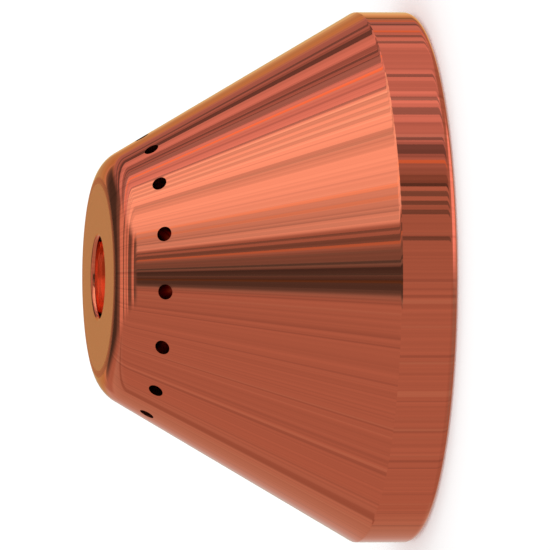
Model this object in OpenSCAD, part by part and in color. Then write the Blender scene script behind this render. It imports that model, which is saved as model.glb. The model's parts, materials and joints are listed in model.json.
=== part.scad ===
// Deflector shield for a plasma cutting torch: a turned copper cone that screws on over the nozzle.
// It stands on its open end. The origin is the centre of the back face, and +Z runs along the
// axis towards the nose. All lengths are in millimetres.

/* [Rim] */
// Outer diameter of the rim
rim_d = 28; // [27:0.5:40]
// Width of the straight band round the rim
band_w = 3; // [1.5:0.25:6]
// Radius on the outer edge of the back face
back_edge_r = 0.45; // [0.1:0.05:0.8]
// Radius on the edge between the band and the flank
band_edge_r = 0.2; // [0.05:0.05:0.5]

/* [Cone] */
// Overall length, from the back face to the nose face
shield_l = 16.75; // [15:0.25:24]
// Diameter at which the flank would meet the nose face if the nose were sharp
nose_d = 12; // [11:0.5:15]
// Radius round the nose
nose_r = 2; // [0.5:0.25:2.5]

/* [Cavity] */
// Thickness of the nose, between the nose face and the cavity's floor
nose_t = 1.75; // [1.25:0.25:3]
// Diameter at which the cavity's wall meets its floor
cavity_floor_d = 8.8; // [7.6:0.2:9.2]
// Radius between the cavity's wall and its floor
cavity_r = 0.75; // [0.25:0.25:1]

/* [Orifice] */
// Diameter of the hole that the arc leaves by
orifice_d = 4.25; // [2:0.25:5]
// Radius on the orifice's outer lip
orifice_lip_r = 0.2; // [0.05:0.05:0.4]
// Radius on the orifice's inner edge
orifice_inner_r = 0.15; // [0.05:0.05:0.3]

/* [Vents] */
// Number of vent holes round the flank
vent_count = 15; // [6:1:20]
// Diameter of each vent hole
vent_d = 0.8; // [0.5:0.1:1]
// Distance behind the nose face at which the vents leave the flank
vent_setback = 2.35; // [2:0.05:3]

/* [Thread] */
// Major diameter of the thread that screws on to the torch
thread_d = 22; // [20:0.5:23]
// Pitch of the thread
thread_pitch = 1; // [0.5:0.25:1.25]
// Depth of the threaded length, from the back face
thread_l = 4.5; // [3:0.25:5]
// Width of the relief groove behind the thread
relief_w = 1.25; // [0.75:0.25:1.5]
// Depth of the relief groove below the thread's major diameter
relief_depth = 0.15; // [0.05:0.05:0.25]
// Radius in the corners of the relief groove
relief_r = 0.25; // [0.05:0.05:0.25]
// Distance that the lead-in chamfer opens beyond the major diameter
lead_in = 0.2; // [0.1:0.05:0.3]
// Distance that the seat reaches inwards from the thread's minor diameter
seat_w = 0.8; // [0.6:0.1:1.5]
// Radius on the inner edge of the seat
seat_edge_r = 0.3; // [0.1:0.05:0.4]

/* [Hidden] */
$fn = 96;

// A basic internal thread's minor diameter is this many pitches under its major diameter.
minor_factor = 1.0825;
// How far a corner sliver's tip passes its corner, as a share of the way from the arc's centre
tip_share = 0.3;
// An arc is this much larger than its radius, so that it crosses its two sides and doesn't only
// graze them.
crossing = 0.0002;

rim_r = rim_d / 2;
nose_corner_r = nose_d / 2;
orifice_r = orifice_d / 2;
flank_l = shield_l - band_w;
flank_angle = atan2(rim_r - nose_corner_r, flank_l);
thread_minor_r = (thread_d - minor_factor * thread_pitch) / 2;
relief_wall_r = thread_d / 2 + relief_depth;
lead_in_r = thread_d / 2 + lead_in;
lead_in_h = lead_in_r - thread_minor_r;
seat_z = thread_l + relief_w;
cavity_mouth_r = thread_minor_r - seat_w;
cavity_floor_r = cavity_floor_d / 2;
floor_z = shield_l - nose_t;

vent_z = shield_l - vent_setback;
// Radius of the flank's surface at the middle of a vent
vent_r = nose_corner_r + vent_setback * tan(flank_angle);
// A drill runs this far each way from there, which takes it half way to the axis.
vent_drill_reach = vent_r / 2;

// The metal's half section as [radius, height, corner radius], once round from the lead-in.
half_section = [
    [lead_in_r, 0, 0],
    [rim_r, 0, back_edge_r],
    [rim_r, band_w, band_edge_r],
    [nose_corner_r, shield_l, nose_r],
    [orifice_r, shield_l, orifice_lip_r],
    [orifice_r, floor_z, orifice_inner_r],
    [cavity_floor_r, floor_z, cavity_r],
    [cavity_mouth_r, seat_z, seat_edge_r],
    [relief_wall_r, seat_z, relief_r],
    [relief_wall_r, thread_l, relief_r],
    [thread_minor_r, thread_l, 0],
    [thread_minor_r, lead_in_h, 0]
];

function xy(corner) = [corner[0], corner[1]];
function unit(v) = v / norm(v);
function turns_left(a, b) = a[0] * b[1] - a[1] * b[0] > 0;

// What lies between a sharp corner and the arc that rounds it, tangent to both its sides. Its
// tip reaches past the corner, so that it overlaps what it is joined to or cut from, and its
// points run anticlockwise.
module corner_sliver(before, corner, after, radius) {
    to_before = unit(before - corner);
    to_after = unit(after - corner);
    half_angle = acos(to_before * to_after) / 2;
    tangent = radius / tan(half_angle);
    centre = corner + unit(to_before + to_after) * radius / sin(half_angle);
    tip = corner + tip_share * (corner - centre);
    difference() {
        polygon([tip, corner + tangent * to_after, centre, corner + tangent * to_before]);
        translate(centre) circle(r = radius + crossing);
    }
}

// The slivers at the rounded outer corners of an outline, or at its rounded inner corners. An
// outline listed anticlockwise turns left at its outer corners and right at its inner ones.
module corner_slivers(outline, outer) {
    last = len(outline) - 1;
    for (i = [0 : last]) {
        before = xy(outline[i == 0 ? last : i - 1]);
        corner = xy(outline[i]);
        after = xy(outline[i == last ? 0 : i + 1]);
        if (outline[i][2] > 0 && turns_left(corner - before, after - corner) == outer)
            corner_sliver(outer ? before : after, corner, outer ? after : before, outline[i][2]);
    }
}

// Outer corners lose metal when they are rounded, and inner ones gain some.
module rounded(outline) {
    difference() {
        union() {
            polygon([for (corner = outline) xy(corner)]);
            corner_slivers(outline, outer = false);
        }
        corner_slivers(outline, outer = true);
    }
}

// Drills square to the flank, spaced evenly round the nose
module vent_drills() {
    for (i = [0 : vent_count - 1])
        rotate([0, 0, i * 360 / vent_count])
            translate([vent_r, 0, vent_z])
                rotate([0, 90 - flank_angle, 0])
                    cylinder(d = vent_d, h = 2 * vent_drill_reach, center = true);
}

// The whole shield: one turned solid with its ring of vents
module deflector_shield() {
    color([0.84, 0.42, 0.29])
        difference() {
            rotate_extrude() rounded(half_section);
            vent_drills();
        }
}

deflector_shield();
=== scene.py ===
# %% [markdown]
# # A copper deflector shield
# This lesson dresses one turned part: the copper shield that screws over the nozzle of a plasma
# cutting torch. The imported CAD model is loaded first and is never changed. It gives the size, the
# place and the frame: the shield stands on its open end, +Z runs up its axis to the nose, and all
# lengths are in metres.

# %% Load the fixed frame
import json
import math

import bmesh
import bpy
from mathutils import Matrix, Vector

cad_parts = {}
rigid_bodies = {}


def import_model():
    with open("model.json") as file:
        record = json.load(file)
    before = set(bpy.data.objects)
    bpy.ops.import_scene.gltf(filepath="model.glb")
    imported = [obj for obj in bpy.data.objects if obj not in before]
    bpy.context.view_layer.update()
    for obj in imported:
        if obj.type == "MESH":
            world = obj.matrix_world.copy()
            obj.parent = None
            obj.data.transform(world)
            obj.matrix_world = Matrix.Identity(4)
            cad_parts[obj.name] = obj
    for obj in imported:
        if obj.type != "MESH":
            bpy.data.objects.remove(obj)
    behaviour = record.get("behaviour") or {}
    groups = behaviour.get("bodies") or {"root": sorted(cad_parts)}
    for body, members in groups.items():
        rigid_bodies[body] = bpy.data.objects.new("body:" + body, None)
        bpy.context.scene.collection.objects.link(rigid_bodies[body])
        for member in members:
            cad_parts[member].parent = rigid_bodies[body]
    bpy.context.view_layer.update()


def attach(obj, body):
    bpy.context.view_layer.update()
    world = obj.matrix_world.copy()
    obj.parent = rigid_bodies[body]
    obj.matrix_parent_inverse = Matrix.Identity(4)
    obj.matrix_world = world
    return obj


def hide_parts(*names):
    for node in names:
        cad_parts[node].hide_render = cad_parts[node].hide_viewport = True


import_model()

# %% [markdown]
# ## The camera
# The shield is seen from the side, 10 degrees above its open end's plane, with its nose to the
# left. An object seen with hardly any perspective asks for a very long lens far away, so the lens
# follows from the distance and from the width that the picture covers.

# %% Camera
TILT = math.radians(10)
PICTURE_WIDTH = 0.02903
CAMERA_DISTANCE = 1.3
SENSOR = 36.0
look_at = Vector((0.00012, 0, 0.00727))
towards_camera = Vector((0, -math.cos(TILT), math.sin(TILT)))
picture_right = Vector((0, -math.sin(TILT), -math.cos(TILT)))
picture_up = Vector((1, 0, 0))

camera_data = bpy.data.cameras.new("camera")
camera_data.sensor_width = SENSOR
camera_data.lens = SENSOR * CAMERA_DISTANCE / PICTURE_WIDTH
camera_data.clip_start = 0.05
camera_data.clip_end = 20
camera = bpy.data.objects.new("camera", camera_data)
turn = Matrix((picture_right, picture_up, towards_camera)).transposed()
camera.matrix_world = Matrix.Translation(look_at + CAMERA_DISTANCE * towards_camera) @ turn.to_4x4()
bpy.context.scene.collection.objects.link(camera)
bpy.context.scene.camera = camera
print(f"lens {camera_data.lens:.0f} mm at {CAMERA_DISTANCE} m")

# %% [markdown]
# ## The half section
# A turned part is a half section swept round an axis, so the section comes first. It is drawn as a
# lathe tool travels: straight runs that end in an arc wherever two of them meet in a rounded
# corner. The arcs are made by spinning the last point about the arc's centre, which gives true
# circles with evenly spaced points. A mirror finish shows every error of the surface's direction,
# so a narrow row of faces lies on each side of an arc and keeps the flats beside it flat.
#
# The section is drawn in millimetres, with the radius along X and the height along Z.

# %% The pen that draws the section
SUPPORT = 0.05


def pen_to(bm, vert, x, z):
    """A straight run from vert to a new point."""
    new = bmesh.ops.extrude_vert_indiv(bm, verts=[vert])["verts"][0]
    new.co = (x, 0, z)
    return new


def pen_arc(bm, vert, centre, angle, steps):
    """An arc from vert about a centre. A positive angle turns anticlockwise, seen from -Y."""
    swept = bmesh.ops.spin(bm, geom=[vert], cent=(centre.x, 0, centre.y), axis=(0, -1, 0),
                           angle=angle, steps=steps)
    return [g for g in swept["geom_last"] if isinstance(g, bmesh.types.BMVert)][0]


def pen_corner(bm, vert, before, corner, after, radius, steps):
    """A run up to a rounded corner, round it, and a little way along the next run."""
    back, ahead = (before - corner).normalized(), (after - corner).normalized()
    half = back.angle(ahead) / 2
    tangent = radius / math.tan(half)
    centre = corner + (back + ahead).normalized() * radius / math.sin(half)
    side = 1 if back.cross(ahead) < 0 else -1
    for distance in (tangent + SUPPORT, tangent):
        p = corner + back * distance
        vert = pen_to(bm, vert, p.x, p.y)
    vert = pen_arc(bm, vert, centre, side * (math.pi - 2 * half), steps)
    p = corner + ahead * (tangent + SUPPORT)
    return pen_to(bm, vert, p.x, p.y)


# %% [markdown]
# The measures are the CAD model's own. The flank is a cone of 30 degrees to the axis, and the
# cavity inside it is a slightly blunter one. The threaded length is drawn at the bottom of the
# thread, because the thread's ridge is added later as a helix.

# %% Measures of the section, in millimetres
RIM_R, LENGTH, BAND_W = 14.0, 16.75, 3.0
NOSE_CORNER_R, NOSE_R = 6.0, 2.0
THREAD_MAJOR_R, THREAD_L, PITCH = 11.0, 4.5, 1.0
NOSE_T, SEAT_W, LEAD_IN, RELIEF_W, RELIEF_DEPTH, RELIEF_CORNER = 1.75, 0.8, 0.2, 1.25, 0.15, 0.25
FLOOR_R, ORIFICE_R = 4.4, 2.125
VENTS, VENT_R, VENT_SETBACK = 15, 0.4, 2.35
BACK_EDGE_R, BAND_EDGE_R, LIP_R, INNER_LIP_R, CAVITY_CORNER_R, MOUTH_EDGE_R = (
    0.45, 0.2, 0.2, 0.15, 0.75, 0.3)

# A basic internal thread's minor diameter is this many pitches under its major diameter.
MINOR_FACTOR = 1.0825
THREAD_MINOR_R = THREAD_MAJOR_R - MINOR_FACTOR * PITCH / 2
LEAD_IN_R = THREAD_MAJOR_R + LEAD_IN
RELIEF_R = THREAD_MAJOR_R + RELIEF_DEPTH
SEAT_Z = THREAD_L + RELIEF_W
MOUTH_R = THREAD_MINOR_R - SEAT_W
FLOOR_Z = LENGTH - NOSE_T
VENT_Z = LENGTH - VENT_SETBACK

flank_slope = (RIM_R - NOSE_CORNER_R) / (LENGTH - BAND_W)
cavity_slope = (MOUTH_R - FLOOR_R) / (FLOOR_Z - SEAT_Z)
flank_angle = math.atan(flank_slope)
print(f"flank {math.degrees(flank_angle):.2f} and cavity "
      f"{math.degrees(math.atan(cavity_slope)):.2f} degrees to the axis")


def flank_r(z):
    """Radius of the flank's cone at a height."""
    return NOSE_CORNER_R + (LENGTH - z) * flank_slope


def cavity_r(z):
    """Radius of the cavity's cone at a height."""
    return FLOOR_R + (FLOOR_Z - z) * cavity_slope


# %% [markdown]
# ## Room for the vents
# The 15 vents are drilled square to the flank. A hole is cleanest in a mesh when the faces round
# it form a regular block that can be swapped for a ring, so the section gets evenly spaced rows
# where a vent comes through the flank, and where it comes out into the cavity.

# %% Where a vent passes through the wall
STEPS = 20
WALL_GUESS = 2.3
step_angle = math.radians(360 / VENTS / STEPS)
drill = Vector((math.cos(flank_angle), 0, math.sin(flank_angle)))
vent_at = Vector((flank_r(VENT_Z), 0, VENT_Z))


def slide_to_cone(point, direction, slope):
    """Where a line meets the cone of that slope: the flank's or the cavity's."""
    radius_at = flank_r if slope == flank_slope else cavity_r
    point = point.copy()
    for _ in range(8):
        r = math.hypot(point.x, point.y)
        gap = r - radius_at(point.z)
        rate = (point.x * direction.x + point.y * direction.y) / r + direction.z * slope
        point -= direction * gap / rate
    return point


vent_exit = slide_to_cone(vent_at - WALL_GUESS * drill, drill, cavity_slope)
OUTER_ROWS, OUTER_COLUMNS, OUTER_HALF = 8, 8, 0.54
INNER_ROWS, INNER_COLUMNS, INNER_HALF = 6, 10, 0.52
print(f"a vent is {(vent_at - vent_exit).length:.2f} mm long and leaves the cavity at "
      f"z {vent_exit.z:.2f} mm")

# %% Draw the section
bm = bmesh.new()
points = {
    "lead_in": Vector((LEAD_IN_R, 0)), "rim_back": Vector((RIM_R, 0)),
    "rim_front": Vector((RIM_R, BAND_W)), "nose": Vector((NOSE_CORNER_R, LENGTH)),
    "lip": Vector((ORIFICE_R, LENGTH)), "inner_lip": Vector((ORIFICE_R, FLOOR_Z)),
    "floor": Vector((FLOOR_R, FLOOR_Z)), "mouth": Vector((MOUTH_R, SEAT_Z)),
    "seat": Vector((RELIEF_R, SEAT_Z)), "relief": Vector((RELIEF_R, THREAD_L)),
}
rounded = [
    ("rim_back", BACK_EDGE_R, 10), ("rim_front", BAND_EDGE_R, 6), ("nose", NOSE_R, 24),
    ("lip", LIP_R, 10), ("inner_lip", INNER_LIP_R, 8), ("floor", CAVITY_CORNER_R, 10),
    ("mouth", MOUTH_EDGE_R, 8), ("seat", RELIEF_CORNER, 8)]
order = list(points)
start = vert = bmesh.ops.create_vert(bm, co=(LEAD_IN_R, 0, 0))["vert"][0]
for name, radius, steps in rounded:
    i = order.index(name)
    before, corner, after = (points[order[k]] for k in (i - 1, i, i + 1))
    if name == "nose":
        for z in (vent_at.z - OUTER_HALF, vent_at.z + OUTER_HALF):
            vert = pen_to(bm, vert, flank_r(z), z)
    if name == "mouth":
        for z in (vent_exit.z + INNER_HALF, vent_exit.z - INNER_HALF):
            vert = pen_to(bm, vert, cavity_r(z), z)
    vert = pen_corner(bm, vert, before, corner, after, radius, steps)

relief_centre = Vector((RELIEF_R - RELIEF_CORNER, THREAD_L + RELIEF_CORNER))
runout = math.acos((THREAD_MAJOR_R - relief_centre.x) / RELIEF_CORNER)
for z in (relief_centre.y + SUPPORT, relief_centre.y):
    vert = pen_to(bm, vert, RELIEF_R, z)
vert = pen_arc(bm, vert, relief_centre, -runout, 6)
vert = pen_to(bm, vert, THREAD_MAJOR_R, LEAD_IN_R - THREAD_MAJOR_R)
bmesh.ops.contextual_create(bm, geom=[vert, start])
print(len(bm.verts), "points and", len(bm.edges), "runs in the section")

# %% [markdown]
# The two blocks of rows are cut evenly, and every other long run gets a point each millimetre.

# %% Cut the long runs
LONG_RUN = 1.0
SAME = 1e-4
for edge in list(bm.edges):
    low, high = sorted(v.co.z for v in edge.verts)
    if abs(high - low - 2 * OUTER_HALF) < SAME and abs(low + OUTER_HALF - vent_at.z) < SAME:
        cuts = OUTER_ROWS - 1
    elif abs(high - low - 2 * INNER_HALF) < SAME and abs(low + INNER_HALF - vent_exit.z) < SAME:
        cuts = INNER_ROWS - 1
    else:
        cuts = int(edge.calc_length() / LONG_RUN)
    if cuts:
        bmesh.ops.subdivide_edges(bm, edges=[edge], cuts=cuts)
print(len(bm.verts), "points in the section once cut")

# %% [markdown]
# ## One vent's share of the wall
# The shield repeats 15 times round its axis. So only one share of 24 degrees is modelled, with its
# vent in the middle, and the rest are copies of it.

# %% Spin one share
share = 2 * math.pi / VENTS
bmesh.ops.rotate(bm, verts=bm.verts, cent=(0, 0, 0), matrix=Matrix.Rotation(-share / 2, 3, "Z"))
bmesh.ops.spin(bm, geom=bm.verts[:] + bm.edges[:], cent=(0, 0, 0), axis=(0, 0, 1), angle=share,
               steps=STEPS)
print(len(bm.faces), "faces in one share")

# %% [markdown]
# Each block of faces that a vent passes through is taken out. A circle drawn round the drill's
# axis is slid along that axis until it lies on the cone, and the gap between the block's edge and
# the circle is bridged. The new points in that ring are drawn out to the cone, so that the surface
# round the hole keeps its true direction and the polish doesn't show a dent.


# %% Open the wall where the drill passes
NEAR_CONE = 0.6
VENT_SEGMENTS = 32


def open_block(bm, centre, half_height, columns):
    """Takes out the block of faces round a point, and returns the edges left round it."""
    half_width = step_angle * columns / 2
    block = []
    for face in bm.faces:
        c = face.calc_center_median()
        on_cone = abs(math.hypot(c.x, c.y) - math.hypot(centre.x, centre.y)) < NEAR_CONE
        if on_cone and abs(c.z - centre.z) < half_height and abs(math.atan2(c.y, c.x)) < half_width:
            block.append(face)
    inside = set(block)
    border = [e for f in block for e in f.edges if any(g not in inside for g in e.link_faces)]
    bmesh.ops.delete(bm, geom=block, context="FACES")
    return [e for e in border if e.is_valid]


def drill_circle(bm, centre, slope):
    """A circle of the drill's size, lying on a cone."""
    place = Matrix.Translation(centre) @ Matrix.Rotation(math.pi / 2 - flank_angle, 4, "Y")
    ring = bmesh.ops.create_circle(
        bm, segments=VENT_SEGMENTS, radius=VENT_R, matrix=place)["verts"]
    for v in ring:
        v.co = slide_to_cone(v.co, drill, slope)
    return list({e for v in ring for e in v.link_edges})


def ring_round_hole(bm, border, circle, slope):
    """Bridges a block's border to the circle, and lays the points between them on the cone."""
    spokes = bmesh.ops.bridge_loops(bm, edges=border + circle)["edges"]
    made = bmesh.ops.subdivide_edges(bm, edges=spokes, cuts=2, use_grid_fill=True)["geom_inner"]
    radius_at = flank_r if slope == flank_slope else cavity_r
    for v in made:
        if isinstance(v, bmesh.types.BMVert):
            scale = radius_at(v.co.z) / math.hypot(v.co.x, v.co.y)
            v.co.x *= scale
            v.co.y *= scale


outer_border = open_block(bm, vent_at, OUTER_HALF, OUTER_COLUMNS)
inner_border = open_block(bm, vent_exit, INNER_HALF, INNER_COLUMNS)
outer_circle = drill_circle(bm, vent_at, flank_slope)
inner_circle = drill_circle(bm, vent_exit, cavity_slope)
print("edges round the openings:", len(outer_border), len(inner_border), "and in each circle:",
      len(outer_circle), len(inner_circle))
ring_round_hole(bm, outer_border, outer_circle, flank_slope)
ring_round_hole(bm, inner_border, inner_circle, cavity_slope)
wall = bmesh.ops.bridge_loops(bm, edges=outer_circle + inner_circle)
print(len(wall["faces"]), "faces in the vent's wall")

# %% [markdown]
# ## All round
# The share is copied 14 times, and the seams are closed by merging the points that meet there.

# %% Copy the share round the axis
bmesh.ops.spin(bm, geom=bm.verts[:] + bm.edges[:] + bm.faces[:], cent=(0, 0, 0), axis=(0, 0, 1),
               angle=share * (VENTS - 1), steps=VENTS - 1, use_duplicate=True)
bmesh.ops.remove_doubles(bm, verts=bm.verts, dist=0.001)
bmesh.ops.recalc_face_normals(bm, faces=bm.faces)
bm.normal_update()
open_edges = [e for e in bm.edges if not e.is_manifold]
print(f"body: {len(bm.faces)} faces, {len(open_edges)} open edges, "
      f"{bm.calc_volume():.0f} mm3")

# %% [markdown]
# ## The thread
# The torch's cup screws into the open end, so that end has an internal thread: a ridge that winds
# along the bore, with sides at 60 degrees and a flat crest. It is spun from its own section with a
# rise of one pitch a turn. Its foot is sunk a little into the wall. The lead-in chamfer cuts the
# first turn away at a slant, so the ridge's points are kept outside the chamfer's cone, and the
# relief groove ends the last turn with a flat cut.

# %% Wind the ridge
SUNK = 0.05
TURN_STEPS, TURNS = 120, 6
RIDGE_START = -0.7 * PITCH
THREAD_SIDE = math.radians(30)
flank_rise = (THREAD_MAJOR_R + SUNK - THREAD_MINOR_R) * math.tan(THREAD_SIDE)
crest_half = PITCH / 8
ridge = bmesh.new()
foot = ridge_vert = bmesh.ops.create_vert(
    ridge, co=(THREAD_MAJOR_R + SUNK, 0, -crest_half - flank_rise))["vert"][0]
for x, z in ((THREAD_MINOR_R, -crest_half), (THREAD_MINOR_R, crest_half),
             (THREAD_MAJOR_R + SUNK, crest_half + flank_rise)):
    ridge_vert = pen_to(ridge, ridge_vert, x, z)
bmesh.ops.contextual_create(ridge, geom=[ridge_vert, foot])
bmesh.ops.subdivide_edges(ridge, edges=ridge.edges[:], cuts=1)
bmesh.ops.translate(ridge, vec=(0, 0, RIDGE_START), verts=ridge.verts)
bmesh.ops.spin(ridge, geom=ridge.verts[:] + ridge.edges[:], cent=(0, 0, 0), axis=(0, 0, 1),
               dvec=(0, 0, PITCH / TURN_STEPS), angle=2 * math.pi * TURNS,
               steps=TURN_STEPS * TURNS)

# %% Trim the ridge with the chamfer and the relief groove
CHAMFER_GAP = 0.01
for v in ridge.verts:
    r = math.hypot(v.co.x, v.co.y)
    clear = max(r, LEAD_IN_R + CHAMFER_GAP - v.co.z)
    v.co.x *= clear / r
    v.co.y *= clear / r
for height, side in ((LEAD_IN_R - THREAD_MAJOR_R, -1), (THREAD_L, 1)):
    cut = bmesh.ops.bisect_plane(
        ridge, geom=ridge.verts[:] + ridge.edges[:] + ridge.faces[:], plane_co=(0, 0, height),
        plane_no=(0, 0, side), clear_outer=True)["geom_cut"]
    rim = [g for g in cut if isinstance(g, bmesh.types.BMEdge) and g.is_valid]
    bmesh.ops.holes_fill(ridge, edges=rim, sides=0)
bmesh.ops.remove_doubles(ridge, verts=ridge.verts, dist=0.0005)
bmesh.ops.recalc_face_normals(ridge, faces=ridge.faces)
print(f"thread: {len(ridge.faces)} faces, "
      f"{len([e for e in ridge.edges if not e.is_manifold])} open edges")

# %% Join the ridge to the body
ridge_mesh = bpy.data.meshes.new("ridge")
ridge.to_mesh(ridge_mesh)
ridge.free()
bm.from_mesh(ridge_mesh)
bpy.data.meshes.remove(ridge_mesh)
bm.normal_update()
print(len(bm.faces), "faces with the thread")

# %% [markdown]
# ## Finishes, edges and size
# The shield is polished outside, faced flat on its nose and left as turned inside, so each face is
# given the finish of the surface that it belongs to. Edges that turn by more than 30 degrees stay
# crisp. At the end the mesh goes from millimetres to metres.

# %% Give each face its finish
# Three finishes carry painted light: the vents' dark copper is painted shade, the nose face's tint is a
# painted reflection and the orifice's pale copper is painted light.
FINISHES = ["polished_flank", "polished_band", "faced_nose_painted_reflection", "turned_inside", "orifice_painted_light",
            "vent_painted_shade"]
CREASE = math.radians(30)
VENT_ZONE, FAR_OFF = 4, 99.0


def off_drill(point):
    """Distance of a point from the axis of the nearest vent."""
    nearest = round(math.atan2(point.y, point.x) / share) * share
    reach = Matrix.Rotation(-nearest, 3, "Z") @ point - vent_at
    return (reach - drill * reach.dot(drill)).length if point.z > FLOOR_Z - VENT_ZONE else FAR_OFF


def finish_of(face):
    """The name of the finish on a face, from where it is and which way it looks."""
    c = face.calc_center_median()
    r, n = math.hypot(c.x, c.y), face.normal
    outwards = (c.x * n.x + c.y * n.y) / r
    # Vent walls get a dark copper: painted shade.
    if off_drill(c) < VENT_R:
        return "vent_painted_shade"
    if c.z > LENGTH - 0.21 and r < ORIFICE_R + 0.2:
        return "polished_flank"
    # The nose face gets a yellower, darker copper: a painted reflection.
    if c.z > LENGTH - 0.001 and r > ORIFICE_R:
        return "faced_nose_painted_reflection"
    # The orifice gets a paler copper: painted light.
    if r < ORIFICE_R + 0.25 and c.z > FLOOR_Z - 0.001:
        return "orifice_painted_light"
    if c.z < BAND_W and r > LEAD_IN_R + 2 and outwards > 0.02:
        return "polished_band"
    if outwards > 0.02 and r > flank_r(min(c.z, LENGTH)) - 0.75 and n.z > 0.01:
        return "polished_flank"
    return "turned_inside"


for face in bm.faces:
    face.material_index = FINISHES.index(finish_of(face))
    face.smooth = True
for edge in bm.edges:
    edge.smooth = not (len(edge.link_faces) == 2 and edge.calc_face_angle() > CREASE)
counts = [sum(f.material_index == i for f in bm.faces) for i in range(len(FINISHES))]
print("faces by finish:", dict(zip(FINISHES, counts)))

# %% Make the piece
MM = 0.001
bmesh.ops.scale(bm, vec=(MM, MM, MM), verts=bm.verts)
shield_mesh = bpy.data.meshes.new("copper_shield")
bm.to_mesh(shield_mesh)
bm.free()
shield = bpy.data.objects.new("copper_shield", shield_mesh)
bpy.context.scene.collection.objects.link(shield)
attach(shield, "root")
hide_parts("deflector_shield")
triangles = sum(len(p.vertices) - 2 for p in shield_mesh.polygons)
print(triangles, "triangles")

# %% [markdown]
# ## Finishes
# Polished copper shows two things: what stands round it, and the fine marks that polishing left. Here
# thin dark and bright lines are also painted into its colour, which stand in part for reflected
# streaks. On this shield marks and lines run along the cone, from the nose to the rim, so their pattern
# depends on the angle round the axis and hardly on the height. That angle is turned into a point on a
# circle, which has no seam, and a noise is read there.


# %% A small helper for nodes
def add(tree, kind, inputs=(), **settings):
    """Adds a node, sets its properties, and fills inputs with values or with links."""
    node = tree.nodes.new(kind)
    for key, value in settings.items():
        setattr(node, key, value)
    for key, value in dict(inputs).items():
        if isinstance(value, bpy.types.NodeSocket):
            tree.links.new(value, node.inputs[key])
        else:
            node.inputs[key].default_value = value
    return node


def new_group(name, inputs, outputs):
    """A shader node group with named inputs and outputs."""
    tree = bpy.data.node_groups.new(name, "ShaderNodeTree")
    for label, kind, value in inputs:
        socket = tree.interface.new_socket(label, in_out="INPUT", socket_type=kind)
        socket.default_value = value
    for label, kind in outputs:
        tree.interface.new_socket(label, in_out="OUTPUT", socket_type=kind)
    return tree, tree.nodes.new("NodeGroupInput").outputs, tree.nodes.new("NodeGroupOutput").inputs


# %% The streak group
FLOAT = "NodeSocketFloat"
streaks, given, gives = new_group(
    "polish_and_reflection_streaks",
    [("Count", FLOAT, 60.0), ("Seed", FLOAT, 0.0), ("Lean", FLOAT, 20.0), ("Amount", FLOAT, 0.5)],
    [("Fine", FLOAT), ("Dark reflection lines", FLOAT), ("Bright reflection lines", FLOAT)])
place = add(streaks, "ShaderNodeTexCoord").outputs["Object"]
flat = add(streaks, "ShaderNodeVectorMath", {0: place, 1: (1, 1, 0)}, operation="MULTIPLY")
round_axis = add(streaks, "ShaderNodeVectorMath", {0: flat.outputs[0]}, operation="NORMALIZE")
circle = add(streaks, "ShaderNodeVectorMath", {0: round_axis.outputs[0], "Scale": given["Count"]},
             operation="SCALE")
height = add(streaks, "ShaderNodeSeparateXYZ", {0: place}).outputs["Z"]
lean = add(streaks, "ShaderNodeMath", {0: height, 1: given["Lean"]}, operation="MULTIPLY")
deep = add(streaks, "ShaderNodeMath", {0: lean.outputs[0], 1: given["Seed"]}, operation="ADD")
along = add(streaks, "ShaderNodeCombineXYZ", {"Z": deep.outputs[0]})
sample = add(streaks, "ShaderNodeVectorMath", {0: circle.outputs[0], 1: along.outputs[0]},
             operation="ADD").outputs[0]
fine = add(streaks, "ShaderNodeTexNoise", {"Vector": sample, "Scale": 1.0, "Detail": 4.0,
                                           "Roughness": 0.6})
streaks.links.new(fine.outputs["Fac"], gives["Fine"])
# The dark and bright lines are painted reflections in part, polishing marks in part.
for label, offset, low, high in (("Dark reflection lines", 31.0, 0.60, 0.70), ("Bright reflection lines", 73.0, 0.62, 0.70)):
    shift = add(streaks, "ShaderNodeVectorMath", {0: sample, 1: (offset, offset, offset)},
                operation="ADD")
    noise = add(streaks, "ShaderNodeTexNoise", {"Vector": shift.outputs[0], "Scale": 0.7,
                                                "Detail": 1.0})
    lines = add(streaks, "ShaderNodeMapRange", {"Value": noise.outputs["Fac"], "From Min": low,
                                                "From Max": high, "To Max": given["Amount"]},
                interpolation_type="SMOOTHSTEP")
    streaks.links.new(lines.outputs[0], gives[label])
print("built", streaks.name)

# %% [markdown]
# A lathe tool leaves rings round the axis where nothing was polished: on the nose's face, in the
# cavity and in the orifice. A noise in one dimension runs across those rings. Which way that is
# depends on the surface, so the group takes one weight for the radius and one for the height.

# %% The turning group
turning, given, gives = new_group(
    "turning_rings", [("Across", FLOAT, 1.0), ("Along", FLOAT, 1.0)], [("Rings", FLOAT)])
place = add(turning, "ShaderNodeTexCoord").outputs["Object"]
flat = add(turning, "ShaderNodeVectorMath", {0: place, 1: (1, 1, 0)}, operation="MULTIPLY")
radius = add(turning, "ShaderNodeVectorMath", {0: flat.outputs[0]}, operation="LENGTH").outputs["Value"]
height = add(turning, "ShaderNodeSeparateXYZ", {0: place}).outputs["Z"]
across = add(turning, "ShaderNodeMath", {0: radius, 1: given["Across"]}, operation="MULTIPLY")
ring_place = add(turning, "ShaderNodeMath", {0: height, 1: given["Along"], 2: across.outputs[0]},
                 operation="MULTIPLY_ADD")
rings = add(turning, "ShaderNodeTexNoise", {"W": ring_place.outputs[0], "Scale": 1.0, "Detail": 2.0},
            noise_dimensions="1D")
turning.links.new(rings.outputs["Fac"], gives["Rings"])
print("built", turning.name)

# %% [markdown]
# The streaks tint the copper, darken it along thin lines, brighten it along others and change its gloss
# a little. The tint and gloss are polishing marks, and the dark and bright lines are in part painted
# reflections. The flank and the band are one colour. The vents are the same metal, but hardly any light
# comes back out of holes so narrow, and the world's glossy light would fill them. So their wall is
# painted a dark copper, which is painted shade.

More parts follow.
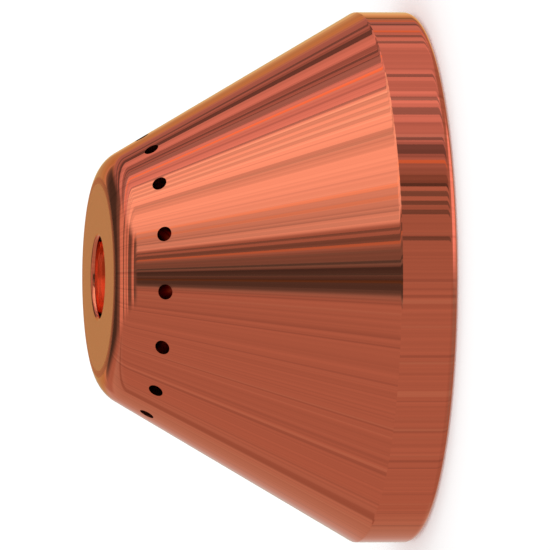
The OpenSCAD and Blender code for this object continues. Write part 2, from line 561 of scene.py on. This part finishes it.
# %% Polished copper
COPPER = (0.80, 0.22, 0.12, 1)
DARK_REFLECTION_COPPER = (0.30, 0.08, 0.05, 1)
BRIGHT_REFLECTION_COPPER = (0.98, 0.36, 0.20, 1)
EDGE_TINT = (0.95, 0.70, 0.60, 1)


def polished_copper(name, count, seed, lean, amount, roughness, colour=COPPER, edge=EDGE_TINT):
    """Copper with a mirror polish, and lines along the flank that are partly polishing marks and partly
    painted reflections.
    """
    material = bpy.data.materials.new(name)
    material.use_nodes = True
    tree = material.node_tree
    shader = tree.nodes["Principled BSDF"]
    marks = add(tree, "ShaderNodeGroup", node_tree=streaks)
    for key, value in (("Count", count), ("Seed", seed), ("Lean", lean), ("Amount", amount)):
        marks.inputs[key].default_value = value
    tone = add(tree, "ShaderNodeMapRange", {"Value": marks.outputs["Fine"], "From Min": 0.35,
                                            "From Max": 0.65, "To Min": 0.9, "To Max": 1.08})
    base = add(tree, "ShaderNodeMix", {"Factor": 1.0, "A": colour, "B": tone.outputs[0]},
               data_type="RGBA", blend_type="MULTIPLY")
    # Dark and bright lines painted into the colour: partly polishing marks, partly painted reflections.
    dark = add(tree, "ShaderNodeMix", {"Factor": marks.outputs["Dark reflection lines"],
                                       "A": base.outputs["Result"], "B": DARK_REFLECTION_COPPER},
               data_type="RGBA")
    bright = add(tree, "ShaderNodeMix", {"Factor": marks.outputs["Bright reflection lines"],
                                         "A": dark.outputs["Result"], "B": BRIGHT_REFLECTION_COPPER},
                 data_type="RGBA")
    tree.links.new(bright.outputs["Result"], shader.inputs["Base Color"])
    gloss = add(tree, "ShaderNodeMapRange", {"Value": marks.outputs["Fine"], "From Min": 0.3,
                                             "From Max": 0.7, "To Min": roughness * 0.8,
                                             "To Max": roughness * 1.25})
    tree.links.new(gloss.outputs[0], shader.inputs["Roughness"])
    shader.inputs["Metallic"].default_value = 1.0
    shader.inputs["Specular Tint"].default_value = edge
    return material


materials = {
    "polished_flank": polished_copper("polished_flank", count=60, seed=3.0, lean=2.0,
                                      amount=0.30, roughness=0.03),
    "polished_band": polished_copper("polished_band", count=55, seed=11.0, lean=0.0,
                                     amount=0.30, roughness=0.03),
    # The vents' dark copper and dark edge tint are painted shade for the light that hardly comes out of
    # them.
    "vent_painted_shade": polished_copper("vent_painted_shade", count=12, seed=9.0, lean=0.0, amount=0.1,
                                    roughness=0.35, colour=(0.22, 0.06, 0.04, 1),
                                    edge=(0.3, 0.15, 0.12, 1)),
}
print("made", ", ".join(materials))

# %% [markdown]
# The turned surfaces get rings in place of streaks. The nose's face is painted a little yellower and
# darker than the flank, a painted reflection of the warm light it mirrors. The orifice is polished, and
# it is painted a lighter copper as painted light, because light bounces in a bore and takes on more of
# the metal's colour each time, which otherwise leaves it dark red.


# %% Turned copper
def turned_copper(name, across, along, roughness, colour):
    """Copper as the lathe left it, with fine rings in its tone, its gloss and its surface."""
    material = bpy.data.materials.new(name)
    material.use_nodes = True
    tree = material.node_tree
    shader = tree.nodes["Principled BSDF"]
    marks = add(tree, "ShaderNodeGroup", node_tree=turning)
    marks.inputs["Across"].default_value = across
    marks.inputs["Along"].default_value = along
    shade = add(tree, "ShaderNodeMapRange", {"Value": marks.outputs["Rings"], "From Min": 0.3,
                                             "From Max": 0.7, "To Min": 0.9, "To Max": 1.06})
    base = add(tree, "ShaderNodeMix", {"Factor": 1.0, "A": colour, "B": shade.outputs[0]},
               data_type="RGBA", blend_type="MULTIPLY")
    gloss = add(tree, "ShaderNodeMapRange", {"Value": marks.outputs["Rings"], "From Min": 0.3,
                                             "From Max": 0.7, "To Min": roughness * 0.9,
                                             "To Max": roughness * 1.15})
    relief = add(tree, "ShaderNodeBump", {"Height": marks.outputs["Rings"], "Strength": 0.15,
                                          "Distance": 0.00002})
    tree.links.new(base.outputs["Result"], shader.inputs["Base Color"])
    tree.links.new(gloss.outputs[0], shader.inputs["Roughness"])
    tree.links.new(relief.outputs["Normal"], shader.inputs["Normal"])
    shader.inputs["Metallic"].default_value = 1.0
    shader.inputs["Specular Tint"].default_value = EDGE_TINT
    return material


FINE_RINGS = 6000
# The face's yellower, darker copper is a painted reflection of the warm light it mirrors; its rings are
# real turning marks.
materials["faced_nose_painted_reflection"] = turned_copper(
    "faced_nose_painted_reflection", across=FINE_RINGS, along=0, roughness=0.22, colour=(0.80, 0.33, 0.20, 1))
materials["turned_inside"] = turned_copper(
    "turned_inside", across=-FINE_RINGS, along=FINE_RINGS, roughness=0.30, colour=COPPER)
# The orifice's paler copper is painted light that offsets the reddening of bounces in the bore.
materials["orifice_painted_light"] = turned_copper(
    "orifice_painted_light", across=-FINE_RINGS, along=FINE_RINGS, roughness=0.06,
    colour=(0.95, 0.55, 0.40, 1))
print("finishes:", ", ".join(materials))

for name in FINISHES:
    shield_mesh.materials.append(materials[name])

# %% [markdown]
# ## The table and the light
# The shield stands on a pale table. Polished metal is mostly a picture of its surroundings, so the
# surroundings are what is shaded here. The camera sees plain white and the table gets plain white
# light. For the metal's reflections the world is a studio.
#
# The table lies a hair under the shield, so that the two faces don't lie in one plane, and it glows
# a little for the camera, which makes it as white as the background.

# %% Table
TABLE_GAP = 0.00002
TABLE_R = 3.0
TABLE_GLOW = 0.17
bm = bmesh.new()
bmesh.ops.create_circle(bm, cap_ends=True, segments=96, radius=TABLE_R,
                        matrix=Matrix.Translation((0, 0, -TABLE_GAP)))
table_mesh = bpy.data.meshes.new("table")
bm.to_mesh(table_mesh)
bm.free()
table = bpy.data.objects.new("table", table_mesh)
table.visible_glossy = False
bpy.context.scene.collection.objects.link(table)
paper = bpy.data.materials.new("pale_table")
paper.use_nodes = True
shader = paper.node_tree.nodes["Principled BSDF"]
shader.inputs["Base Color"].default_value = (0.93, 0.93, 0.93, 1)
shader.inputs["Roughness"].default_value = 0.9
shader.inputs["Specular IOR Level"].default_value = 0.0
shader.inputs["Emission Color"].default_value = (1, 1, 1, 1)
seen = add(paper.node_tree, "ShaderNodeLightPath").outputs["Is Camera Ray"]
glow = add(paper.node_tree, "ShaderNodeMath", {0: seen, 1: TABLE_GLOW}, operation="MULTIPLY")
paper.node_tree.links.new(glow.outputs[0], shader.inputs["Emission Strength"])
table_mesh.materials.append(paper)

# %% [markdown]
# The room is plain: walls that change slowly from one tone to the next, one large softbox, a dark
# corner behind the camera and a dark ceiling. A direction in it is an azimuth, 0 behind the camera
# and growing towards +X, an elevation, and an angle over the shield, 90 straight above it and 180
# on the far side. Each part has one of six tints at a level. Only the broad light and dark sides
# are laid out to resemble the photo's, mostly at multiples of 5 degrees, and nothing finer is.

# %% Tints
TINTS = {"neutral": (1, 1, 1), "warm": (1, 0.8, 0.75), "cool": (0.8, 0.95, 1),
         "yellow": (1, 0.85, 0.4), "orange": (1, 0.7, 0.4), "rosy": (1, 0.8, 0.9)}


def tone(tint, level):
    """A tint at a level of brightness, where 1 is white, as a colour with its alpha."""
    return (*(level * part for part in TINTS[tint]), 1)


print(len(TINTS), "tints")

# %% Helpers for the studio
world = bpy.data.worlds.new("studio")
bpy.context.scene.world = world
world.use_nodes = True
tree = world.node_tree


def maths(operation, *values, **settings):
    """One Math node in the world."""
    return add(tree, "ShaderNodeMath", dict(enumerate(values)), operation=operation,
               **settings).outputs[0]


def ramp(value, stops, interpolation="LINEAR"):
    """A colour ramp. Each stop is a value from 0 to 1, a tint and a level."""
    node = add(tree, "ShaderNodeValToRGB", {"Fac": value})
    node.color_ramp.interpolation = interpolation
    elements = node.color_ramp.elements
    for element, (at, tint, level) in ((elements[0], stops[0]), (elements[1], stops[-1])):
        element.position = at
        element.color = tone(tint, level)
    for at, tint, level in stops[1:-1]:
        elements.new(at).color = tone(tint, level)
    return node.outputs["Color"]


def row(angle, stops):
    """A slow change of tone over an angle. Each stop is an angle, a tint and a level."""
    low, high = stops[0][0], stops[-1][0]
    share = add(tree, "ShaderNodeMapRange", {"Value": angle, "From Min": low, "From Max": high})
    return ramp(share.outputs[0], [((at - low) / (high - low), tint, level)
                                   for at, tint, level in stops])


def fade(value, start, end):
    """0 at start, 1 at end, and smooth between them."""
    return add(tree, "ShaderNodeMapRange", {"Value": value, "From Min": start, "From Max": end},
               interpolation_type="SMOOTHSTEP").outputs[0]


def between(value, low, high, soft):
    """1 between two angles and 0 outside them, with soft edges."""
    return maths("MULTIPLY", fade(value, low - soft, low + soft), fade(value, high + soft, high - soft))


def blend(factor, first, second, **settings):
    """The first colour where the factor is 0, the second where it is 1."""
    return add(tree, "ShaderNodeMix", {"Factor": factor, "A": first, "B": second},
               data_type="RGBA", **settings).outputs["Result"]


# %% Directions in the studio
way = add(tree, "ShaderNodeSeparateXYZ",
          {0: add(tree, "ShaderNodeTexCoord").outputs["Generated"]}).outputs
azimuth = maths("DEGREES", maths("ARCTAN2", way["X"], maths("MULTIPLY", way["Y"], -1.0)))
elevation = maths("DEGREES", maths("ARCSINE", way["Z"]))
over = maths("DEGREES", maths("ARCTAN2", way["Z"], maths("MULTIPLY", way["Y"], -1.0)))

# %% [markdown]
# Blinds, shelves and stands break up a real wall. A Voronoi texture in one dimension cuts an angle into
# cells of uneven width and gives each a random number, which picks the bar's tone. So the bars have
# crisp edges and no list of them is needed. The seeds are the best of a few tried.


# %% Bars of uneven width
WIDE_BAR, THIN_BAR, CEILING_BAR = 8.0, 2.0, 4.0
HIGH_SEED, LOW_SEED, CORNER_SEED, CEILING_SEED = 3.0, 33.0, 60.0, 8.0
THIN_SEED_STEP = 50


def bars(angle, width, seed):
    """A random number for each bar along an angle. The width is a bar's average, in degrees."""
    place = maths("ADD", maths("DIVIDE", angle, width), seed)
    cells = add(tree, "ShaderNodeTexVoronoi", {"W": place, "Scale": 1.0}, voronoi_dimensions="1D")
    return add(tree, "ShaderNodeSeparateColor", {0: cells.outputs["Color"]}).outputs["Red"]


def barred(colour, angle, seed, amount):
    """A wall with wide bars and thin lines in front of it."""
    wide = ramp(bars(angle, WIDE_BAR, seed), [
        (0, "neutral", 0.6), (0.15, "neutral", 0.8), (0.35, "neutral", 1), (0.7, "neutral", 1.15)],
        "CONSTANT")
    thin = ramp(bars(angle, THIN_BAR, seed + THIN_SEED_STEP), [
        (0, "cool", 0.6), (0.15, "neutral", 1), (0.9, "orange", 1.5)], "CONSTANT")
    colour = blend(amount, colour, wide, blend_type="MULTIPLY")
    return blend(amount, colour, thin, blend_type="MULTIPLY")


# %% [markdown]
# The walls go once round the room. The softbox stands on the +X side. The upright band mirrors what
# is 10 degrees below the level and the leaning flank what is above it, so the softbox ends between
# the two and shows only on the flank. The bars stand on the softbox's side and in the corner, and
# the other side is one plain wall with a single dark stand.

# %% Walls, softbox and dark corner
TABLE_EDGE = -8
SOFTBOX_FROM, SOFTBOX_TO = 30, 100
BARS_LOST_IN_SOFTBOX = 0.6
walls = row(azimuth, [
    (-180, "yellow", 0.5), (-170, "neutral", 0.7), (-145, "neutral", 0.55), (-120, "warm", 0.5),
    (-5, "warm", 0.5), (5, "warm", 0.45), (45, "warm", 0.45), (60, "rosy", 0.8),
    (125, "rosy", 0.8), (135, "rosy", 0.6), (150, "rosy", 0.6), (155, "yellow", 0.7),
    (165, "yellow", 0.9), (180, "yellow", 0.6)])
above_edge = fade(elevation, TABLE_EDGE - 1, TABLE_EDGE + 1)
softbox = maths("MULTIPLY", between(azimuth, SOFTBOX_FROM, SOFTBOX_TO, 2), above_edge)
walls = blend(softbox, walls, tone("neutral", 1.2))
bar_side = fade(azimuth, 10, 15)
in_softbox = maths("SUBTRACT", 1.0, maths("MULTIPLY", softbox, BARS_LOST_IN_SOFTBOX))
high_walls = barred(walls, azimuth, HIGH_SEED, maths("MULTIPLY", bar_side, in_softbox))
low_walls = barred(walls, azimuth, LOW_SEED, bar_side)
room = blend(above_edge, low_walls, high_walls)
stand = maths("MULTIPLY", between(azimuth, -135, -130, 1), above_edge)
room = blend(stand, room, tone("warm", 0.4))
corner = maths("MULTIPLY", fade(azimuth, -15, -10), fade(azimuth, 25, 10))
corner = maths("MULTIPLY", corner, above_edge)
corner_tone = blend(between(azimuth, -10, 0, 2), tone("neutral", 0.3), tone("cool", 0.15))
corner_tone = barred(corner_tone, azimuth, CORNER_SEED, 1.0)
room = blend(corner, room, corner_tone)

# %% [markdown]
# The radius round the nose turns from the walls over the ceiling to the far side. The ceiling has
# lines across it, and a dark beam before the far wall.

# %% Ceiling and far side
lines = ramp(bars(over, CEILING_BAR, CEILING_SEED), [
    (0, "neutral", 0.2), (0.4, "warm", 0.8), (0.65, "warm", 0.5), (0.85, "warm", 0.4)], "CONSTANT")
ceiling = blend(between(over, 130, 155, 5), lines, tone("cool", 0.1))
ceiling = blend(fade(over, 155, 165), ceiling, tone("yellow", 0.6))
sideways = maths("ABSOLUTE", maths("SUBTRACT", way["X"], 0.1))
reach = add(tree, "ShaderNodeMapRange", {"Value": over, "From Min": 120.0, "From Max": 150.0,
                                         "To Min": 0.5, "To Max": 0.4}).outputs[0]
overhead = maths("MULTIPLY", fade(maths("DIVIDE", sideways, reach), 1.0, 0.6), fade(over, 50, 60))
far_side = maths("MULTIPLY", fade(elevation, 10, 15), fade(over, 95, 110))
far_side = maths("MULTIPLY", far_side, fade(maths("ABSOLUTE", way["X"]), 0.45, 0.35))
room = blend(far_side, room, tone("warm", 0.5))
room = blend(overhead, room, ceiling)

# %% [markdown]
# Under the level of the table comes its brown front, which the radius under the band mirrors.
# Straight below, the ground is pale towards +X and dim on the other side. Only the inside mirrors
# it, and that gives the orifice a gleam low down in the picture and a dim upper half.

# %% Put the studio together
studio = blend(fade(elevation, -25, -35), room, tone("warm", 0.45))
ground = blend(fade(way["X"], -0.1, 0.2), tone("neutral", 0.4), tone("rosy", 1.2))
studio = blend(fade(elevation, -50, -60), studio, ground)
print(len(tree.nodes), "nodes in the studio")

# %% [markdown]
# Only glossy rays see the studio. The camera and the table see plain white.

# %% Join the studio to the world
paths = add(tree, "ShaderNodeLightPath").outputs
shown = blend(paths["Is Glossy Ray"], (1, 1, 1, 1), studio)
tree.links.new(shown, tree.nodes["Background"].inputs["Color"])

# %% Finish
bpy.context.scene.view_settings.view_transform = "Standard"
